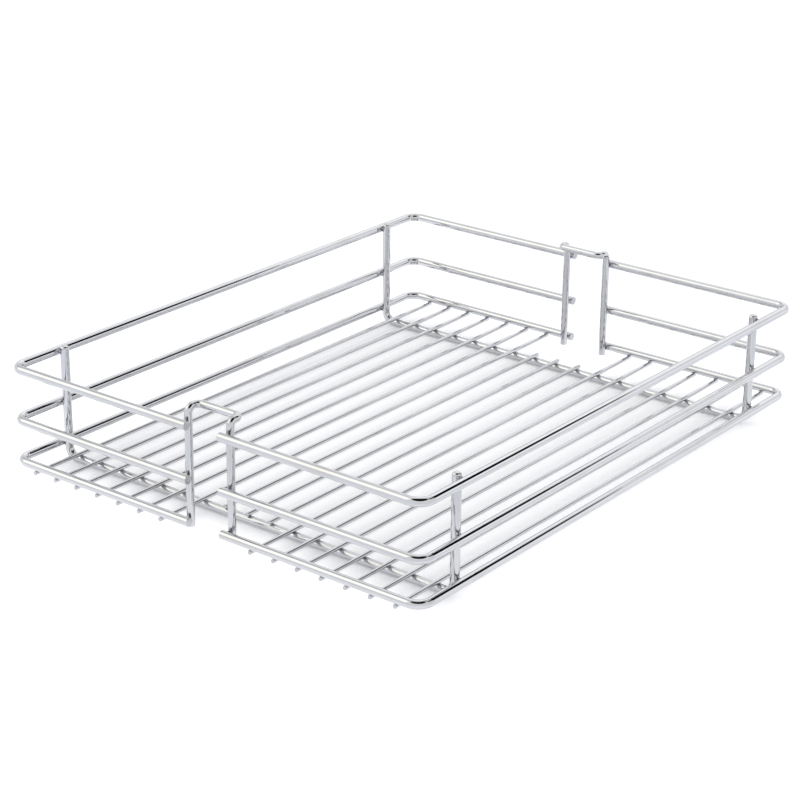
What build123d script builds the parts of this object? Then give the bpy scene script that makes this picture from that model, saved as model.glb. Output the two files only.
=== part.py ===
from build123d import *
import os

# Wire basket for the centre frame of a pull-out tall cabinet. Millimetres.
# X is the width, Y the depth with the front at -Y, and Z is up.
# The origin is on the surface that the basket stands on, under its middle.
# The wires are resistance welded where they cross, so each one lies against the next.

# Wires
RAIL_D = 7.0             # the three rails
FRAME_D = 7.0            # the two U-frames, legs and cross bars
HOOK_D = 6.0             # the two notch hooks
FLOOR_D = 3.5            # the floor wires

# Overall sizes
DEPTH = 500.0            # over the rails, front to back
WIDTH = 395.0            # over the rails, side to side
MIDDLE_RAIL_RISE = 33.5  # bottom rail to middle rail, between centres
TOP_RAIL_RISE = 75.5     # bottom rail to top rail, between centres

# Rails
RAIL_BEND = 11.0         # corner radius of a rail's centre line
RAIL_PAST_LEG = 4.5      # a rail's end past the centre of the hook leg, into the notch

# U-frames
FRAME_INSET = 47.5       # front or rear rail to the U-frame, between centres
FRAME_BEND = 9.0         # leg to cross bar, on the centre line
LEG_ABOVE_RAIL = 2.0     # the leg's top over the top of the top rail
LEG_TOP_BEVEL = 1.2      # round the leg's top

# Notch hooks
HOOK_LEG_SPACING = 40.0  # between the two legs' centres
HOOK_RISE = 11.2         # top rail to bridge, between centres
HOOK_BEND = 5.0          # every bend of the hook, on the centre line
HOOK_NECK = 0.6          # straight between the leg's bend and the bridge's bend
HOOK_LEG_BELOW = 6.0     # centre of the bottom rail to the leg's foot

# Floor
FLOOR_COUNT = 17
FLOOR_SIDE_GAP = 20.5    # side rail to the outermost floor wire, between centres
FLOOR_PAST_RAIL = 2.0    # a long wire's end past the centre of the front or rear rail
FLOOR_PAST_BAR = 3.0     # a short wire's end past the centre of the cross bar
NOTCH_CLEARANCE = 2.0    # a floor wire nearer to a hook leg than this is a short one

# Straight stretches that a bend's skin is made of, kept few because there are 24 bends
BEND_STEPS = 4

# Places that follow
X_RAIL = (WIDTH - RAIL_D) / 2
Y_RAIL = (DEPTH - RAIL_D) / 2
Z_BAR = FRAME_D / 2
Z_FLOOR = Z_BAR + (FRAME_D + FLOOR_D) / 2
Z_BOTTOM = Z_FLOOR + (FLOOR_D + RAIL_D) / 2
Z_MIDDLE = Z_BOTTOM + MIDDLE_RAIL_RISE
Z_TOP = Z_BOTTOM + TOP_RAIL_RISE
X_LEG = X_RAIL - (RAIL_D + FRAME_D) / 2
Y_FRAME = Y_RAIL - FRAME_INSET
Z_LEG_TOP = Z_TOP + RAIL_D / 2 + LEG_ABOVE_RAIL
X_HOOK = HOOK_LEG_SPACING / 2
Y_HOOK = Y_RAIL - (RAIL_D + HOOK_D) / 2
Y_BRIDGE = Y_HOOK - 2 * HOOK_BEND - HOOK_NECK
Z_BRIDGE = Z_TOP + HOOK_RISE
Z_HOOK_FOOT = Z_BOTTOM - HOOK_LEG_BELOW
X_RAIL_END = X_HOOK - RAIL_PAST_LEG
FLOOR_PITCH = 2 * (X_RAIL - FLOOR_SIDE_GAP) / (FLOOR_COUNT - 1)


def wire(corners, diameter, bend_radius=None, end_bevel=0):
    """One wire: its centre line runs straight from corner to corner, with a round bend at each."""
    if bend_radius:
        centre_line = FilletPolyline(*corners, radius=bend_radius)
    else:
        centre_line = Line(*corners)
    radius = diameter / 2
    first, last = centre_line % 0, centre_line % 1

    stations = [(centre_line @ 0, first, radius)]
    for run in centre_line.edges():
        steps = BEND_STEPS if run.geom_type == GeomType.CIRCLE else 1
        for step in range(1, steps + 1):
            stations.append((run @ (step / steps), run % (step / steps), radius))
    if end_bevel:
        start, finish = centre_line @ 0, centre_line @ 1
        stations[0] = (start + first * end_bevel, first, radius)
        stations[-1] = (finish - last * end_bevel, last, radius)
        stations.insert(0, (start, first, radius - end_bevel))
        stations.append((finish, last, radius - end_bevel))

    # Every circle starts on the same side of the wire, so that the skin doesn't twist.
    across = Plane(origin=centre_line @ 0, z_dir=first).x_dir
    sections = []
    for place, along, size in stations:
        across = (across - along * across.dot(along)).normalized()
        sections.append(Plane(origin=place, x_dir=across, z_dir=along) * Circle(size))
    return loft(sections, ruled=True)


def rail(height, side):
    """Half of a rail, from notch to notch: side is -1 for the left half and +1 for the right one."""
    return wire(
        [
            (side * X_RAIL_END, -Y_RAIL, height),
            (side * X_RAIL, -Y_RAIL, height),
            (side * X_RAIL, Y_RAIL, height),
            (side * X_RAIL_END, Y_RAIL, height),
        ],
        RAIL_D, RAIL_BEND,
    )


def u_frame(place):
    """Two corner legs and the cross bar under the floor: place is -1 in front and +1 at the rear."""
    return wire(
        [
            (-X_LEG, place * Y_FRAME, Z_LEG_TOP),
            (-X_LEG, place * Y_FRAME, Z_BAR),
            (X_LEG, place * Y_FRAME, Z_BAR),
            (X_LEG, place * Y_FRAME, Z_LEG_TOP),
        ],
        FRAME_D, FRAME_BEND, LEG_TOP_BEVEL,
    )


def notch_hook(place):
    """A wire bent to a U and then bent over at the top, so that its bridge reaches inwards."""
    return wire(
        [
            (-X_HOOK, place * Y_HOOK, Z_HOOK_FOOT),
            (-X_HOOK, place * Y_HOOK, Z_BRIDGE),
            (-X_HOOK, place * Y_BRIDGE, Z_BRIDGE),
            (X_HOOK, place * Y_BRIDGE, Z_BRIDGE),
            (X_HOOK, place * Y_HOOK, Z_BRIDGE),
            (X_HOOK, place * Y_HOOK, Z_HOOK_FOOT),
        ],
        HOOK_D, HOOK_BEND,
    )


def floor_wire(x):
    """A long wire runs from rail to rail, and a short one stops at the cross bars to clear the notch."""
    past_hook_leg = X_HOOK + (HOOK_D + FLOOR_D) / 2 + NOTCH_CLEARANCE
    if abs(x) < past_hook_leg:
        y_end = Y_FRAME + FLOOR_PAST_BAR
    else:
        y_end = Y_RAIL + FLOOR_PAST_RAIL
    return wire([(x, -y_end, Z_FLOOR), (x, y_end, Z_FLOOR)], FLOOR_D)


nodes = {}
for level, height in (("bottom", Z_BOTTOM), ("middle", Z_MIDDLE), ("top", Z_TOP)):
    for name, side in (("left", -1), ("right", 1)):
        nodes[f"{level}_rail_{name}"] = rail(height, side)
for name, place in (("front", -1), ("rear", 1)):
    nodes[f"{name}_u_frame"] = u_frame(place)
    nodes[f"{name}_notch_hook"] = notch_hook(place)
for i in range(FLOOR_COUNT):
    x = (i - (FLOOR_COUNT - 1) / 2) * FLOOR_PITCH
    nodes[f"floor_wire_{i + 1:02d}"] = floor_wire(x)

os.makedirs("parts", exist_ok=True)
for name, shape in nodes.items():
    shape.label = name
    export_step(shape, f"parts/{name}.step")
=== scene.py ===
from math import cos, radians, sin, tan

import bmesh
import bpy
from bpy.props import FloatProperty, FloatVectorProperty, IntProperty, PointerProperty, StringProperty
from mathutils import Matrix, Vector


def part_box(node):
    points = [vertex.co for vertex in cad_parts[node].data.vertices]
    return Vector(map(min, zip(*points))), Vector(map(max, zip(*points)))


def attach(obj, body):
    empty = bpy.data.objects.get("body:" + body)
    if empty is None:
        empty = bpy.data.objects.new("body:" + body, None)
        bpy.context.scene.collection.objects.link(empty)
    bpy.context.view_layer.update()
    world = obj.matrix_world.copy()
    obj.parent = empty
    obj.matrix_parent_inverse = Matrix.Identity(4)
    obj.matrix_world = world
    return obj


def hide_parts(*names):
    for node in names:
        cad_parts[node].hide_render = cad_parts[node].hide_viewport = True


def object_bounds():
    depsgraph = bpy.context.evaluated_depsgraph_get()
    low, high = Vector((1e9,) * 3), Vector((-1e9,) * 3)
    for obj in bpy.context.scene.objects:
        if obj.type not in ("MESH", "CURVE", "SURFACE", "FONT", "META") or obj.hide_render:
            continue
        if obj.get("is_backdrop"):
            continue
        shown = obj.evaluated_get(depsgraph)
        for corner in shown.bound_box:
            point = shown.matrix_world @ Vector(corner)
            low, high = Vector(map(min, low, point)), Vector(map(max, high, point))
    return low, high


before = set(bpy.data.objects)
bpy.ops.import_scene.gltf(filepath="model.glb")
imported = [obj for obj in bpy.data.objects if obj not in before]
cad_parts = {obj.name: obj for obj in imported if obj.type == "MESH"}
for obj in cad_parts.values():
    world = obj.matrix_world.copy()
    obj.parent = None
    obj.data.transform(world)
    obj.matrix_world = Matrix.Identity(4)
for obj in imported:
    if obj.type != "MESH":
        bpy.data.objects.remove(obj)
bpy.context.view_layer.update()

# A chromed wire basket for the centre frame of a pull-out tall cabinet.
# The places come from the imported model. The wires, their bends, ends and welds are made here.

bl_info = {
    "name": "Pull-out wire basket",
    "version": (1, 0, 0),
    "blender": (4, 5, 0),
    "location": "View3D > Sidebar > Basket",
    "description": "Bends the wires of a chromed pull-out basket, welds them and sets up its studio",
    "category": "Object",
}

MM = 0.001
LEVELS = ("bottom", "middle", "top")
SIDES = {"left": -1, "right": 1}
ENDS = {"front": -1, "rear": 1}
FLOOR_WIRES = sorted(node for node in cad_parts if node.startswith("floor_wire"))

# A wire's two finishes, by their places in its list of materials
POLISHED, SHEARED = 0, 1

# A collar beside each bend and each cut end is this much longer than the end's rounding
COLLAR = 0.5 * MM
# Steps round the edge of a cut end
END_STEPS = 5
# Edges are shaded sharp from this angle
SHARP_ANGLE = radians(35)

# The table's glow is painted light. It follows the distance from a rectangle, which is a little wider than
# the basket and
# a little less deep: full outside, where it hides the basket's shadows, and lower inside, a painted shade
# under the basket
GLOW_OUTLINE = Vector((12, -12, 0)) * MM
# It rises from the first distance, inside the rectangle, to the second one, outside
GLOW_RISE = (-35 * MM, 3 * MM)
# Further out it fades between these two
GLOW_FADE = (15 * MM, 130 * MM)
# It also falls between two distances from a point this far in front of the basket, a painted pool of light
# there
GLOW_FRONT = 50 * MM
GLOW_FALL = (220 * MM, 650 * MM)


def thickness(node):
    """A wire's diameter, from the box of its node."""
    low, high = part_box(node)
    return min(high - low)


class WireSizes(bpy.types.PropertyGroup):
    """Diameters, bends and ends of the wires"""

    rail_d: FloatProperty(
        name="Rail", description="Diameter of the rails",
        default=thickness("top_rail_left"), unit="LENGTH", subtype="DISTANCE",
    )
    frame_d: FloatProperty(
        name="U-frame", description="Diameter of the legs and the cross bars",
        default=thickness("front_u_frame"), unit="LENGTH", subtype="DISTANCE",
    )
    hook_d: FloatProperty(
        name="Hook", description="Diameter of the notch hooks",
        default=6 * MM, unit="LENGTH", subtype="DISTANCE",
    )
    floor_d: FloatProperty(
        name="Floor wire", description="Diameter of the floor wires",
        default=thickness(FLOOR_WIRES[0]), unit="LENGTH", subtype="DISTANCE",
    )
    rail_bend: FloatProperty(
        name="Rail bend", description="Corner radius of a rail's centre line",
        default=11 * MM, unit="LENGTH", subtype="DISTANCE",
    )
    frame_bend: FloatProperty(
        name="U-frame bend", description="Radius from leg to cross bar, on the centre line",
        default=9 * MM, unit="LENGTH", subtype="DISTANCE",
    )
    hook_bend: FloatProperty(
        name="Hook bend", description="Radius of every bend of a hook, on the centre line",
        default=5 * MM, unit="LENGTH", subtype="DISTANCE",
    )
    cut_edge: FloatProperty(
        name="Cut edge", description="Radius that tumbling and plating leave on a sheared end",
        default=0.4 * MM, unit="LENGTH", subtype="DISTANCE",
    )
    leg_dome: FloatProperty(
        name="Leg dome", description="Radius round the top of a leg",
        default=2.3 * MM, unit="LENGTH", subtype="DISTANCE",
    )
    sides: IntProperty(name="Sides", description="Sides of a wire's skin", default=40, min=12)
    bend_steps: IntProperty(name="Bend steps", description="Steps round a bend", default=20, min=4)


class WeldSizes(bpy.types.PropertyGroup):
    """Half sizes of the beads that resistance welding squeezes out where two wires cross"""

    along_floor: FloatProperty(
        name="Floor weld, along", description="Along the floor wire",
        default=1.7 * MM, unit="LENGTH", subtype="DISTANCE",
    )
    across_floor: FloatProperty(
        name="Floor weld, across", description="Across the floor wire",
        default=1.1 * MM, unit="LENGTH", subtype="DISTANCE",
    )
    post: FloatProperty(
        name="Post weld", description="Round the weld of a leg and a rail",
        default=2.8 * MM, unit="LENGTH", subtype="DISTANCE",
    )
    thick: FloatProperty(
        name="Thickness", description="Half the thickness of a bead, between the wires",
        default=1.2 * MM, unit="LENGTH", subtype="DISTANCE",
    )


class Finish(bpy.types.PropertyGroup):
    """Colours and roughness of the plating"""

    chrome: StringProperty(name="Chrome", description="Bright chrome over nickel", default="#C6C7CA")
    haze: StringProperty(name="Haze", description="Thinner plating, a little warmer", default="#C0C0C1")
    # The weld colour darkens the pits of a weld: partly its own dark scale, partly painted shade in the
    # hollows
    weld: StringProperty(name="Weld", description="Pits of a weld", default="#26272A")
    shear: StringProperty(name="Shear", description="Plating over a sheared end", default="#A6A8AC")
    chrome_roughness: FloatProperty(
        name="Chrome roughness", description="Roughness of the bright plating",
        default=0.035, subtype="FACTOR", min=0, max=1,
    )
    haze_roughness: FloatProperty(
        name="Haze roughness", description="Roughness of the thinner plating",
        default=0.056, subtype="FACTOR", min=0, max=1,
    )
    weld_roughness: FloatProperty(
        name="Weld roughness", description="Roughness of the plating over a weld",
        default=0.04, subtype="FACTOR", min=0, max=1,
    )
    shear_roughness: FloatProperty(
        name="Shear roughness", description="Roughness of the plating over a sheared end",
        default=0.18, subtype="FACTOR", min=0, max=1,
    )


class Studio(bpy.types.PropertyGroup):
    """Camera, shooting table and lights"""

    azimuth: FloatProperty(
        name="Azimuth", description="Camera's angle round the basket from the front",
        default=radians(37.727), subtype="ANGLE",
    )
    elevation: FloatProperty(
        name="Elevation", description="Camera's angle above the floor",
        default=radians(22.181), subtype="ANGLE",
    )
    roll: FloatProperty(
        name="Roll", description="Tilt of the camera about its own axis",
        default=radians(0.624), subtype="ANGLE",
    )
    aim: FloatVectorProperty(
        name="Aim", description="Point that the camera looks at",
        default=Vector((-14.53, -1.77, 32.37)) * MM, unit="LENGTH", subtype="TRANSLATION",
    )
    distance: FloatProperty(
        name="Distance", description="Camera to the point that it looks at",
        default=1.7750, unit="LENGTH", subtype="DISTANCE",
    )
    lens: FloatProperty(name="Lens", description="Focal length in millimetres", default=100.29)
    acrylic: StringProperty(
        name="Acrylic", description="Colour of the shooting table", default="#F6F7F9",
    )
    tent: FloatProperty(name="Tent", description="Brightness of the white tent", default=1.06)
    tent_rear: FloatProperty(
        name="Rear lamp", description="What the lamp behind the tent adds at the rear left", default=0.40,
    )
    tent_front: FloatProperty(
        name="Front lamp", description="What the lamp behind the tent adds at the front left", default=0.90,
    )
    tent_gap: FloatProperty(
        name="Gaps", description="What the tent lacks between the lamps", default=0.35,
    )
    tent_open: FloatProperty(
        name="Tent's opening", description="Brightness of the dim room at the open corner", default=0.03,
    )
    # The table's glow is painted light, not lamps under the table: strongest close to the basket, where it
    # hides the basket's shadows
    glow: FloatProperty(
        name="Glow", description="What the lamps under the table add close to the basket", default=0.55,
    )
    glow_far: FloatProperty(
        name="Far glow", description="Share of the glow that is left further out", default=0.58,
    )
    glow_rear: FloatProperty(
        name="Rear glow", description="Share of the glow that is left behind the basket", default=0.80,
    )
    # The lower glow under the basket greys the table there: painted shade
    glow_under: FloatProperty(
        name="Glow under the basket", description="What the lamps under the table add there", default=0.23,
    )
    white: StringProperty(
        name="Tent's white", description="Colour of the tent", default="#FEFEFF",
    )
    warm: StringProperty(
        name="Warm white", description="Colour of the front lamp", default="#FFFCF1",
    )
    cool: StringProperty(
        name="Cool white", description="Colour of the table's glow close to the basket", default="#FCFDFF",
    )
    cool_far: StringProperty(
        name="Cooler white", description="Colour of the table's glow further out", default="#E4ECFF",
    )


def linear(hex_colour):
    """An sRGB hex colour as linear red, green, blue and alpha."""
    channels = [int(hex_colour[i:i + 2], 16) / 255 for i in (1, 3, 5)]
    return [c / 12.92 if c <= 0.04045 else ((c + 0.055) / 1.055) ** 2.4 for c in channels] + [1.0]


def add_node(tree, kind, settings=None, inputs=None, links=None):
    """Adds a node, sets its attributes and sockets, and links other nodes' outputs to its inputs."""
    node = tree.nodes.new(kind)
    for name, value in (settings or {}).items():
        setattr(node, name, value)
    for name, value in (inputs or {}).items():
        node.inputs[name].default_value = value
    for name, source in (links or {}).items():
        tree.links.new(source, node.inputs[name])
    return node


def new_material(name):
    """A material whose tree holds only its output node."""
    material = bpy.data.materials.new(name)
    material.use_nodes = True
    material.node_tree.nodes.clear()
    return material, material.node_tree, material.node_tree.nodes.new("ShaderNodeOutputMaterial")


def polished_chrome(finish):
    """Decorative chrome over nickel on drawn steel wire.

    It is a mirror with a faint blue cast, slightly wavy from the drawn wire under it, with thin
    hazy patches where the wire hung in the plating rack.
    """
    if "chrome_plated_wire" in bpy.data.materials:
        return bpy.data.materials["chrome_plated_wire"]
    material, tree, output = new_material("chrome_plated_wire")
    place = add_node(tree, "ShaderNodeTexCoord")
    # Haze in patches of about 25 mm
    patches = add_node(
        tree, "ShaderNodeTexNoise", inputs={"Scale": 1 / (25 * MM), "Detail": 3.0},
        links={"Vector": place.outputs["Object"]},
    )
    haze = add_node(
        tree, "ShaderNodeMapRange",
        inputs={"From Min": 0.48, "From Max": 0.72, "To Min": 0.0, "To Max": 1.0},
        links={"Value": patches.outputs["Fac"]},
    )
    colour = add_node(
        tree, "ShaderNodeMix", settings={"data_type": "RGBA"},
        inputs={"A": linear(finish.chrome), "B": linear(finish.haze)},
        links={"Factor": haze.outputs["Result"]},
    )
    roughness = add_node(
        tree, "ShaderNodeMapRange",
        inputs={"To Min": finish.chrome_roughness, "To Max": finish.haze_roughness},
        links={"Value": haze.outputs["Result"]},
    )
    # Waves of about 6 mm, and a grain of 0.8 mm, coarser than the plating's own, so that it shows
    waves = add_node(
        tree, "ShaderNodeTexNoise", inputs={"Scale": 1 / (6 * MM), "Detail": 1.0},
        links={"Vector": place.outputs["Object"]},
    )
    grain = add_node(
        tree, "ShaderNodeTexNoise", inputs={"Scale": 1 / (0.8 * MM), "Detail": 2.0},
        links={"Vector": place.outputs["Object"]},
    )
    wavy = add_node(
        tree, "ShaderNodeBump", inputs={"Strength": 0.35, "Distance": 0.05 * MM},
        links={"Height": waves.outputs["Fac"]},
    )
    grainy = add_node(
        tree, "ShaderNodeBump", inputs={"Strength": 0.25, "Distance": 0.01 * MM},
        links={"Height": grain.outputs["Fac"], "Normal": wavy.outputs["Normal"]},
    )
    shader = add_node(
        tree, "ShaderNodeBsdfPrincipled", inputs={"Metallic": 1.0},
        links={
            "Base Color": colour.outputs["Result"],
            "Roughness": roughness.outputs["Result"],
            "Normal": grainy.outputs["Normal"],
        },
    )
    tree.links.new(shader.outputs["BSDF"], output.inputs["Surface"])
    return material


def plated_weld(finish):
    """Chrome over a resistance weld.

    The squeezed-out steel under it is lumpy, so it glints. Its pits, where the bump is low, are painted
    dark: partly the weld's own dark scale, partly painted shade in the hollows.
    """
    if "chrome_plated_weld" in bpy.data.materials:
        return bpy.data.materials["chrome_plated_weld"]
    material, tree, output = new_material("chrome_plated_weld")
    place = add_node(tree, "ShaderNodeTexCoord")
    # Lumps of about 1.6 mm, with pits between them painted dark, partly the weld's own scale and partly
    # painted shade
    lumps = add_node(
        tree, "ShaderNodeTexNoise", inputs={"Scale": 1 / (1.6 * MM), "Detail": 1.0},
        links={"Vector": place.outputs["Object"]},
    )
    risen = add_node(
        tree, "ShaderNodeMapRange", inputs={"From Min": 0.44, "From Max": 0.54},
        links={"Value": lumps.outputs["Fac"]},
    )
    colour = add_node(
        tree, "ShaderNodeMix", settings={"data_type": "RGBA"},
        inputs={"A": linear(finish.weld), "B": linear(finish.chrome)},
        links={"Factor": risen.outputs["Result"]},
    )
    bumps = add_node(
        tree, "ShaderNodeBump", inputs={"Strength": 0.8, "Distance": 0.45 * MM},
        links={"Height": lumps.outputs["Fac"]},
    )
    shader = add_node(
        tree, "ShaderNodeBsdfPrincipled", inputs={"Metallic": 1.0, "Roughness": finish.weld_roughness},
        links={"Base Color": colour.outputs["Result"], "Normal": bumps.outputs["Normal"]},
    )
    tree.links.new(shader.outputs["BSDF"], output.inputs["Surface"])
    return material


def plated_shear(finish):
    """Chrome over a sheared end: the steel under it is torn and streaked, so it shines dully."""
    if "chrome_plated_shear" in bpy.data.materials:
        return bpy.data.materials["chrome_plated_shear"]
    material, tree, output = new_material("chrome_plated_shear")
    place = add_node(tree, "ShaderNodeTexCoord")
    # Tears of about 0.9 mm, coarser than the real ones, so that they show
    tears = add_node(
        tree, "ShaderNodeTexNoise", inputs={"Scale": 1 / (0.9 * MM), "Detail": 3.0},
        links={"Vector": place.outputs["Object"]},
    )
    colour = add_node(
        tree, "ShaderNodeMix", settings={"data_type": "RGBA"},
        inputs={"A": linear(finish.shear), "B": linear(finish.chrome)},
        links={"Factor": tears.outputs["Fac"]},
    )
    bumps = add_node(
        tree, "ShaderNodeBump", inputs={"Strength": 0.7, "Distance": 0.15 * MM},
        links={"Height": tears.outputs["Fac"]},
    )
    shader = add_node(
        tree, "ShaderNodeBsdfPrincipled", inputs={"Metallic": 1.0, "Roughness": finish.shear_roughness},
        links={"Base Color": colour.outputs["Result"], "Normal": bumps.outputs["Normal"]},
    )
    tree.links.new(shader.outputs["BSDF"], output.inputs["Surface"])
    return material


def wire_finishes(finish):
    """The finish of a wire's skin, and of its sheared ends."""
    return [polished_chrome(finish), plated_shear(finish)]


def edges_of(geometry):
    """The edges in what an operator made."""
    return [g for g in geometry if isinstance(g, bmesh.types.BMEdge)]


def verts_of(geometry):
    """The vertices in what an operator made."""
    return [g for g in geometry if isinstance(g, bmesh.types.BMVert)]


def draw_out(bm, ring, run, collar):
    """Draws a ring of edges along a straight stretch of wire.

    A short collar at each end keeps the shading of the bends and the cut ends off the stretch between.
    """
    collar = run.normalized() * min(collar, run.length / 4)
    for step in (collar, run - 2 * collar, collar):
        drawn = bmesh.ops.extrude_edge_only(bm, edges=ring)["geom"]
        bmesh.ops.translate(bm, vec=step, verts=verts_of(drawn))
        ring = [e for e in edges_of(drawn) if e.is_boundary]
    return ring


def bend_wire(bm, corners, diameter, bend_radius, end_round, wires, end_finish=SHEARED):
    """One wire: a ring is drawn along each straight and spun round each bend.

    The skin takes the first of the wire's finishes. The ends are closed and rounded, and take end_finish.
    """
    corners = [Vector(corner) for corner in corners]
    here = corners[0]
    along = (corners[1] - here).normalized()
    turned = along.to_track_quat("Z", "Y").to_matrix().to_4x4()
    start = bmesh.ops.create_circle(
        bm, segments=wires.sides, radius=diameter / 2, matrix=Matrix.Translation(here) @ turned,
    )
    ring = list({e for v in start["verts"] for e in v.link_edges})
    collar = end_round + COLLAR
    for corner, after in zip(corners[1:-1], corners[2:]):
        onward = (after - corner).normalized()
        turn = along.angle(onward)
        setback = along * bend_radius * tan(turn / 2)
        ring = draw_out(bm, ring, corner - setback - here, collar)
        axis = along.cross(onward).normalized()
        spun = bmesh.ops.spin(
            bm, geom=list({v for e in ring for v in e.verts}) + ring,
            cent=corner - setback + axis.cross(along) * bend_radius,
            axis=axis, angle=turn, steps=wires.bend_steps, use_duplicate=False,
        )
        ring = edges_of(spun["geom_last"])
        here = corner + onward * setback.length
        along = onward
    ring = draw_out(bm, ring, corners[-1] - here, collar)
    open_edges = [e for e in bm.edges if e.is_boundary]
    for face in bmesh.ops.holes_fill(bm, edges=open_edges, sides=0)["faces"]:
        face.material_index = end_finish
    bmesh.ops.bevel(
        bm, geom=open_edges, offset=end_round, segments=END_STEPS, profile=0.5, affect="EDGES", material=-1,
    )


def add_piece(name, bm, materials, node=None):
    """Makes a piece of the basket from its bmesh, in place of its node where it has one."""
    bmesh.ops.recalc_face_normals(bm, faces=bm.faces)
    mesh = bpy.data.meshes.new(name)
    bm.to_mesh(mesh)
    bm.free()
    mesh.shade_smooth()
    mesh.set_sharp_from_angle(angle=SHARP_ANGLE)
    for material in materials:
        mesh.materials.append(material)
    piece = bpy.data.objects.new(name, mesh)
    bpy.context.scene.collection.objects.link(piece)
    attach(piece, "root")
    if node:
        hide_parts(node)
    return piece


class BASKET_OT_rails(bpy.types.Operator):
    """Bend the six halves of the three rails"""

    bl_idname = "basket.rails"
    bl_label = "Rails"

    def execute(self, context):
        wires = context.scene.basket_wires
        finishes = wire_finishes(context.scene.basket_finish)
        for level in LEVELS:
            for side, sign in SIDES.items():
                node = f"{level}_rail_{side}"
                low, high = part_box(node)
                radius = wires.rail_d / 2
                x_end = low.x if sign > 0 else high.x
                x_side = high.x - radius if sign > 0 else low.x + radius
                y_front, y_rear = low.y + radius, high.y - radius
                z = (low.z + high.z) / 2
                bm = bmesh.new()
                bend_wire(
                    bm,
                    [(x_end, y_front, z), (x_side, y_front, z), (x_side, y_rear, z), (x_end, y_rear, z)],
                    wires.rail_d, wires.rail_bend, wires.cut_edge, wires,
                )
                add_piece(f"bent_{node}", bm, finishes, node)
        return {"FINISHED"}


class BASKET_OT_u_frames(bpy.types.Operator):
    """Bend the two U-frames, whose legs are the corner posts and whose cross bars carry the floor"""

    bl_idname = "basket.u_frames"
    bl_label = "U-frames"

    def execute(self, context):
        wires = context.scene.basket_wires
        finishes = wire_finishes(context.scene.basket_finish)
        for end in ENDS:
            node = f"{end}_u_frame"
            low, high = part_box(node)
            radius = wires.frame_d / 2
            x, y, z_bar = high.x - radius, (low.y + high.y) / 2, low.z + radius
            bm = bmesh.new()
            bend_wire(
                bm, [(-x, y, high.z), (-x, y, z_bar), (x, y, z_bar), (x, y, high.z)],
                wires.frame_d, wires.frame_bend, wires.leg_dome, wires, POLISHED,
            )
            add_piece(f"bent_{node}", bm, finishes, node)
        return {"FINISHED"}


class BASKET_OT_notch_hooks(bpy.types.Operator):
    """Bend the two hooks that cross the notches"""

    bl_idname = "basket.notch_hooks"
    bl_label = "Notch hooks"

    def execute(self, context):
        wires = context.scene.basket_wires
        finishes = wire_finishes(context.scene.basket_finish)
        radius = wires.hook_d / 2
        for end, sign in ENDS.items():
            node = f"{end}_notch_hook"
            low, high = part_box(node)
            x, z_bridge = high.x - radius, high.z - radius
            y_leg = high.y - radius if sign > 0 else low.y + radius
            y_bridge = low.y + radius if sign > 0 else high.y - radius
            bm = bmesh.new()
            bend_wire(
                bm,
                [
                    (-x, y_leg, low.z), (-x, y_leg, z_bridge), (-x, y_bridge, z_bridge),
                    (x, y_bridge, z_bridge), (x, y_leg, z_bridge), (x, y_leg, low.z),
                ],
                wires.hook_d, wires.hook_bend, wires.cut_edge, wires,
            )
            add_piece(f"bent_{node}", bm, finishes, node)
        return {"FINISHED"}


class BASKET_OT_floor_wires(bpy.types.Operator):
    """Draw and cut the straight wires of the floor"""

    bl_idname = "basket.floor_wires"
    bl_label = "Floor wires"

    def execute(self, context):
        wires = context.scene.basket_wires
        finishes = wire_finishes(context.scene.basket_finish)
        for node in FLOOR_WIRES:
            low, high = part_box(node)
            x, z = (low.x + high.x) / 2, (low.z + high.z) / 2
            bm = bmesh.new()
            bend_wire(bm, [(x, low.y, z), (x, high.y, z)], wires.floor_d, 0, wires.cut_edge, wires)
            add_piece(f"drawn_{node}", bm, finishes, node)
        return {"FINISHED"}


def add_bead(bm, centre, half_sizes):
    """A weld bead: a flattened ball, half sunk in both wires."""
    bmesh.ops.create_uvsphere(
        bm, u_segments=16, v_segments=10, radius=1,
        matrix=Matrix.Translation(centre) @ Matrix.Diagonal((*half_sizes, 1)),
    )


class BASKET_OT_welds(bpy.types.Operator):
    """Put a bead in every crossing of two wires"""

    bl_idname = "basket.welds"
    bl_label = "Welds"

    def execute(self, context):
        wires = context.scene.basket_wires
        welds = context.scene.basket_welds
        finishes = [plated_weld(context.scene.basket_finish)]
        rail_low, rail_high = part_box("bottom_rail_right")
        frame_low, frame_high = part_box("rear_u_frame")
        y_rail = rail_high.y - wires.rail_d / 2
        y_frame = (frame_low.y + frame_high.y) / 2
        z_bar_top = frame_low.z + wires.frame_d

        # A floor wire lies on both cross bars, and a long one under both ends' bottom rails too
        bm = bmesh.new()
        floor_half_sizes = (welds.across_floor, welds.along_floor, welds.thick)
        for node in FLOOR_WIRES:
            low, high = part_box(node)
            x = (low.x + high.x) / 2
            for sign in ENDS.values():
                add_bead(bm, (x, sign * y_frame, z_bar_top), floor_half_sizes)
                if high.y > y_rail:
                    add_bead(bm, (x, sign * y_rail, rail_low.z), floor_half_sizes)
        add_piece("floor_welds", bm, finishes)

        # A U-frame's legs touch the side rails, and a hook's legs touch the end rails, at every level
        bm = bmesh.new()
        hook_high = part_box("rear_notch_hook")[1]
        x_hook = hook_high.x - wires.hook_d / 2
        at_leg = (welds.thick, welds.post, welds.post)
        at_hook = (welds.post, welds.thick, welds.post)
        for level in LEVELS:
            low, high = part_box(f"{level}_rail_right")
            z = (low.z + high.z) / 2
            for side in SIDES.values():
                for end in ENDS.values():
                    add_bead(bm, (side * frame_high.x, end * y_frame, z), at_leg)
                    add_bead(bm, (side * x_hook, end * hook_high.y, z), at_hook)
        add_piece("post_welds", bm, finishes)
        return {"FINISHED"}


def direction(azimuth, elevation):
    """The unit vector at an angle round from +Y towards +X, and an angle above the floor."""
    return Vector((sin(azimuth) * cos(elevation), cos(azimuth) * cos(elevation), sin(elevation)))


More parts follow.
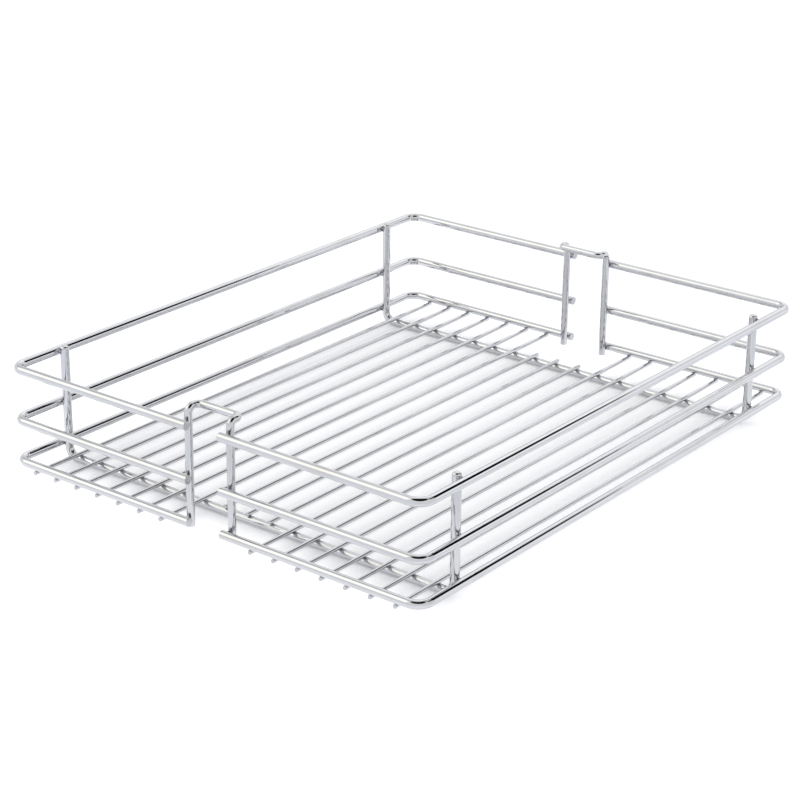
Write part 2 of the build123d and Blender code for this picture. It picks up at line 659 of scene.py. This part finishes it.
def add_flag(name, colour, width, height, place, turned, shades_table=False):
    """An oval card of dark flock that the chrome mirrors, and that the camera doesn't see."""
    material, tree, output = new_material(f"{name}_flock")
    shader = add_node(tree, "ShaderNodeEmission", inputs={"Color": linear(colour), "Strength": 1.0})
    tree.links.new(shader.outputs["Emission"], output.inputs["Surface"])
    bm = bmesh.new()
    bmesh.ops.create_circle(
        bm, cap_ends=True, segments=48, radius=0.5,
        matrix=Matrix.Translation(place) @ turned @ Matrix.Diagonal((width, height, 1, 1)),
    )
    mesh = bpy.data.meshes.new(name)
    bm.to_mesh(mesh)
    bm.free()
    mesh.materials.append(material)
    flag = bpy.data.objects.new(name, mesh)
    bpy.context.scene.collection.objects.link(flag)
    flag.visible_camera = flag.visible_shadow = False
    flag.visible_diffuse = shades_table
    flag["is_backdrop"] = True


def round_patch(tree, towards, azimuth, elevation, core, reach):
    """A round patch of the tent: 1 up to core degrees from its middle, fading to 0 at reach degrees."""
    aligned = add_node(
        tree, "ShaderNodeVectorMath", settings={"operation": "DOT_PRODUCT"}, links={"Vector": towards},
    )
    aligned.inputs[1].default_value = direction(radians(azimuth), radians(elevation))
    fade = add_node(
        tree, "ShaderNodeMapRange", settings={"interpolation_type": "SMOOTHSTEP"},
        inputs={"From Min": cos(radians(reach)), "From Max": cos(radians(core))},
        links={"Value": aligned.outputs["Value"]},
    )
    return fade.outputs["Result"]


def acrylic_with_painted_glow(studio):
    """White acrylic sheet of a shooting table, with a painted glow.

    The glow is painted light, not lamps: it is strong beside the basket, so that the basket's shadows don't
    show there, and weaker under it, so the sheet greys a little there as painted shade. It is brighter in
    front of the basket, a painted pool of light, and cooler further out.
    """
    material, tree, output = new_material("white_acrylic_painted_glow")
    place = add_node(tree, "ShaderNodeTexCoord").outputs["Object"]
    low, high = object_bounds()
    outwards = add_node(
        tree, "ShaderNodeVectorMath", settings={"operation": "ABSOLUTE"}, links={"Vector": place},
    )
    outwards = add_node(
        tree, "ShaderNodeVectorMath", settings={"operation": "SUBTRACT"},
        links={"Vector": outwards.outputs["Vector"]},
    )
    outwards.inputs[1].default_value = Vector((high.x, high.y, 0)) + GLOW_OUTLINE
    sides = add_node(tree, "ShaderNodeSeparateXYZ", links={"Vector": outwards.outputs["Vector"]})
    distance = add_node(
        tree, "ShaderNodeMath", settings={"operation": "MAXIMUM"},
        links={0: sides.outputs["X"], 1: sides.outputs["Y"]},
    )
    # Painted shade under the basket: the glow rises from its low value inside the rectangle to its full
    # value outside
    rise = add_node(
        tree, "ShaderNodeMapRange", settings={"interpolation_type": "SMOOTHSTEP"},
        inputs={
            "From Min": GLOW_RISE[0], "From Max": GLOW_RISE[1],
            "To Min": studio.glow_under, "To Max": studio.glow,
        },
        links={"Value": distance.outputs["Value"]},
    )
    # A painted pool of light in front of the basket
    front = add_node(
        tree, "ShaderNodeVectorMath", settings={"operation": "DISTANCE"}, links={0: place},
    )
    front.inputs[1].default_value = (0, low.y - GLOW_FRONT, 0)
    fall = add_node(
        tree, "ShaderNodeMapRange", settings={"interpolation_type": "SMOOTHSTEP"},
        inputs={
            "From Min": GLOW_FALL[0], "From Max": GLOW_FALL[1], "To Min": 1.0, "To Max": studio.glow_rear,
        },
        links={"Value": front.outputs["Value"]},
    )
    further = add_node(
        tree, "ShaderNodeMapRange", settings={"interpolation_type": "SMOOTHSTEP"},
        inputs={"From Min": GLOW_FADE[0], "From Max": GLOW_FADE[1]},
        links={"Value": distance.outputs["Value"]},
    )
    fade = add_node(
        tree, "ShaderNodeMapRange", inputs={"To Min": 1.0, "To Max": studio.glow_far},
        links={"Value": further.outputs["Result"]},
    )
    glow = add_node(
        tree, "ShaderNodeMath", settings={"operation": "MULTIPLY"},
        links={0: rise.outputs["Result"], 1: fall.outputs["Result"]},
    )
    glow = add_node(
        tree, "ShaderNodeMath", settings={"operation": "MULTIPLY"},
        links={0: glow.outputs["Value"], 1: fade.outputs["Result"]},
    )
    cooler = add_node(
        tree, "ShaderNodeMix", settings={"data_type": "RGBA"},
        inputs={"A": linear(studio.cool), "B": linear(studio.cool_far)},
        links={"Factor": further.outputs["Result"]},
    )
    # The table glows though it is no lamp: this emission is painted light
    shader = add_node(
        tree, "ShaderNodeBsdfPrincipled",
        inputs={"Base Color": linear(studio.acrylic), "Roughness": 1.0, "Specular IOR Level": 0.0},
        links={"Emission Strength": glow.outputs["Value"], "Emission Color": cooler.outputs["Result"]},
    )
    tree.links.new(shader.outputs["BSDF"], output.inputs["Surface"])
    return material


class BASKET_OT_studio(bpy.types.Operator):
    """Set up the shooting table, the lights and the camera"""

    bl_idname = "basket.studio"
    bl_label = "Studio"

    def execute(self, context):
        studio = context.scene.basket_studio
        scene = context.scene

        bm = bmesh.new()
        # 60 m wide, so that its edge is far away in every view
        bmesh.ops.create_grid(bm, x_segments=1, y_segments=1, size=30)
        mesh = bpy.data.meshes.new("shooting_table")
        bm.to_mesh(mesh)
        bm.free()
        mesh.materials.append(acrylic_with_painted_glow(studio))
        table = bpy.data.objects.new("shooting_table", mesh)
        scene.collection.objects.link(table)
        table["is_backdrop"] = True

        world = bpy.data.worlds.new("white_tent")
        scene.world = world
        world.use_nodes = True
        tree = world.node_tree
        towards = add_node(tree, "ShaderNodeTexCoord").outputs["Generated"]
        # Lamps shine through the tent, with duller gaps between them, and one corner is open to the
        # dim room. Each patch has its azimuth and elevation, where its full part and its fading part
        # end, all in degrees, and what it adds to the tent's brightness.
        lamps = {
            "rear left": (-33, 36, 8, 24, studio.tent_rear),
            "rear": (0, 37, 4, 14, studio.tent_rear),
            "right": (37, 6, 4, 13, studio.tent_rear),
            "gap at the left": (-64, 38, 6, 20, -studio.tent_gap),
            "gap at the rear": (-40, 11, 5, 14, -studio.tent_gap),
            "open corner": (48, 48, 10, 14, studio.tent_open - studio.tent),
            "front left": (-124, 38, 8, 28, studio.tent_front),
        }
        # The last patch also has the front lamp's warm colour
        strength = None
        for azimuth, elevation, core, reach, brightness in lamps.values():
            patch = round_patch(tree, towards, azimuth, elevation, core, reach)
            strength = add_node(
                tree, "ShaderNodeMath", settings={"operation": "MULTIPLY_ADD"},
                inputs={1: brightness, 2: studio.tent},
                links={0: patch, 2: strength} if strength else {0: patch},
            ).outputs["Value"]
        colour = add_node(
            tree, "ShaderNodeMix", settings={"data_type": "RGBA"},
            inputs={"A": linear(studio.white), "B": linear(studio.warm)}, links={"Factor": patch},
        )
        background = tree.nodes["Background"]
        tree.links.new(strength, background.inputs["Strength"])
        tree.links.new(colour.outputs["Result"], background.inputs["Color"])

        # One card hangs upright behind the basket, to the right, and is tilted in its own plane
        upright = Matrix.Rotation(radians(37), 4, "Y") @ Matrix.Rotation(radians(90), 4, "X")
        add_flag("rear_flag", "#050505", width=1.40, height=1.15, place=(0.97, 1.30, 1.45), turned=upright)
        # Another hangs over the near corner of the basket, and faces it
        near_corner = Vector((0.19, -0.24, 0.06))
        overhead = direction(radians(132), radians(69))
        distance = 1.2
        facing = overhead.to_track_quat("Z", "Y").to_matrix().to_4x4()
        add_flag(
            "top_flag", "#101010", width=1.40, height=1.40, place=near_corner + overhead * distance,
            turned=facing, shades_table=True,
        )

        a, e, r = studio.azimuth, studio.elevation, studio.roll
        back = Vector((sin(a) * cos(e), -cos(a) * cos(e), sin(e)))
        level_right = Vector((cos(a), sin(a), 0))
        level_up = back.cross(level_right)
        right = level_right * cos(r) + level_up * sin(r)
        up = level_up * cos(r) - level_right * sin(r)
        camera = bpy.data.objects.new("camera", bpy.data.cameras.new("camera"))
        scene.collection.objects.link(camera)
        place = studio.aim + back * studio.distance
        turned = Matrix((right, up, back)).transposed().to_4x4()
        camera.matrix_world = Matrix.Translation(place) @ turned
        camera.data.sensor_width = 36
        camera.data.lens = studio.lens
        camera.data.clip_start = 0.01
        camera.data.clip_end = 100
        scene.camera = camera
        scene.view_settings.view_transform = "Standard"
        return {"FINISHED"}


class BASKET_PT_panel(bpy.types.Panel):
    """The basket's pieces and sizes, in the sidebar"""

    bl_idname = "BASKET_PT_panel"
    bl_label = "Pull-out wire basket"
    bl_space_type = "VIEW_3D"
    bl_region_type = "UI"
    bl_category = "Basket"

    def draw(self, context):
        for group in PROPERTY_GROUPS:
            settings = getattr(context.scene, group)
            box = self.layout.box()
            for name in settings.bl_rna.properties.keys():
                if name not in ("rna_type", "name"):
                    box.prop(settings, name)
        for operator in OPERATORS:
            self.layout.operator(operator.bl_idname)


PROPERTY_GROUPS = {
    "basket_wires": WireSizes,
    "basket_welds": WeldSizes,
    "basket_finish": Finish,
    "basket_studio": Studio,
}
OPERATORS = (
    BASKET_OT_rails,
    BASKET_OT_u_frames,
    BASKET_OT_notch_hooks,
    BASKET_OT_floor_wires,
    BASKET_OT_welds,
    BASKET_OT_studio,
)


def register():
    for cls in (*PROPERTY_GROUPS.values(), *OPERATORS, BASKET_PT_panel):
        bpy.utils.register_class(cls)
    for name, group in PROPERTY_GROUPS.items():
        setattr(bpy.types.Scene, name, PointerProperty(type=group))


def unregister():
    for name in PROPERTY_GROUPS:
        delattr(bpy.types.Scene, name)
    for cls in (BASKET_PT_panel, *reversed(OPERATORS), *PROPERTY_GROUPS.values()):
        bpy.utils.unregister_class(cls)


def main():
    register()
    for operator in OPERATORS:
        group, name = operator.bl_idname.split(".")
        getattr(getattr(bpy.ops, group), name)()


if __name__ == "__main__":
    main()
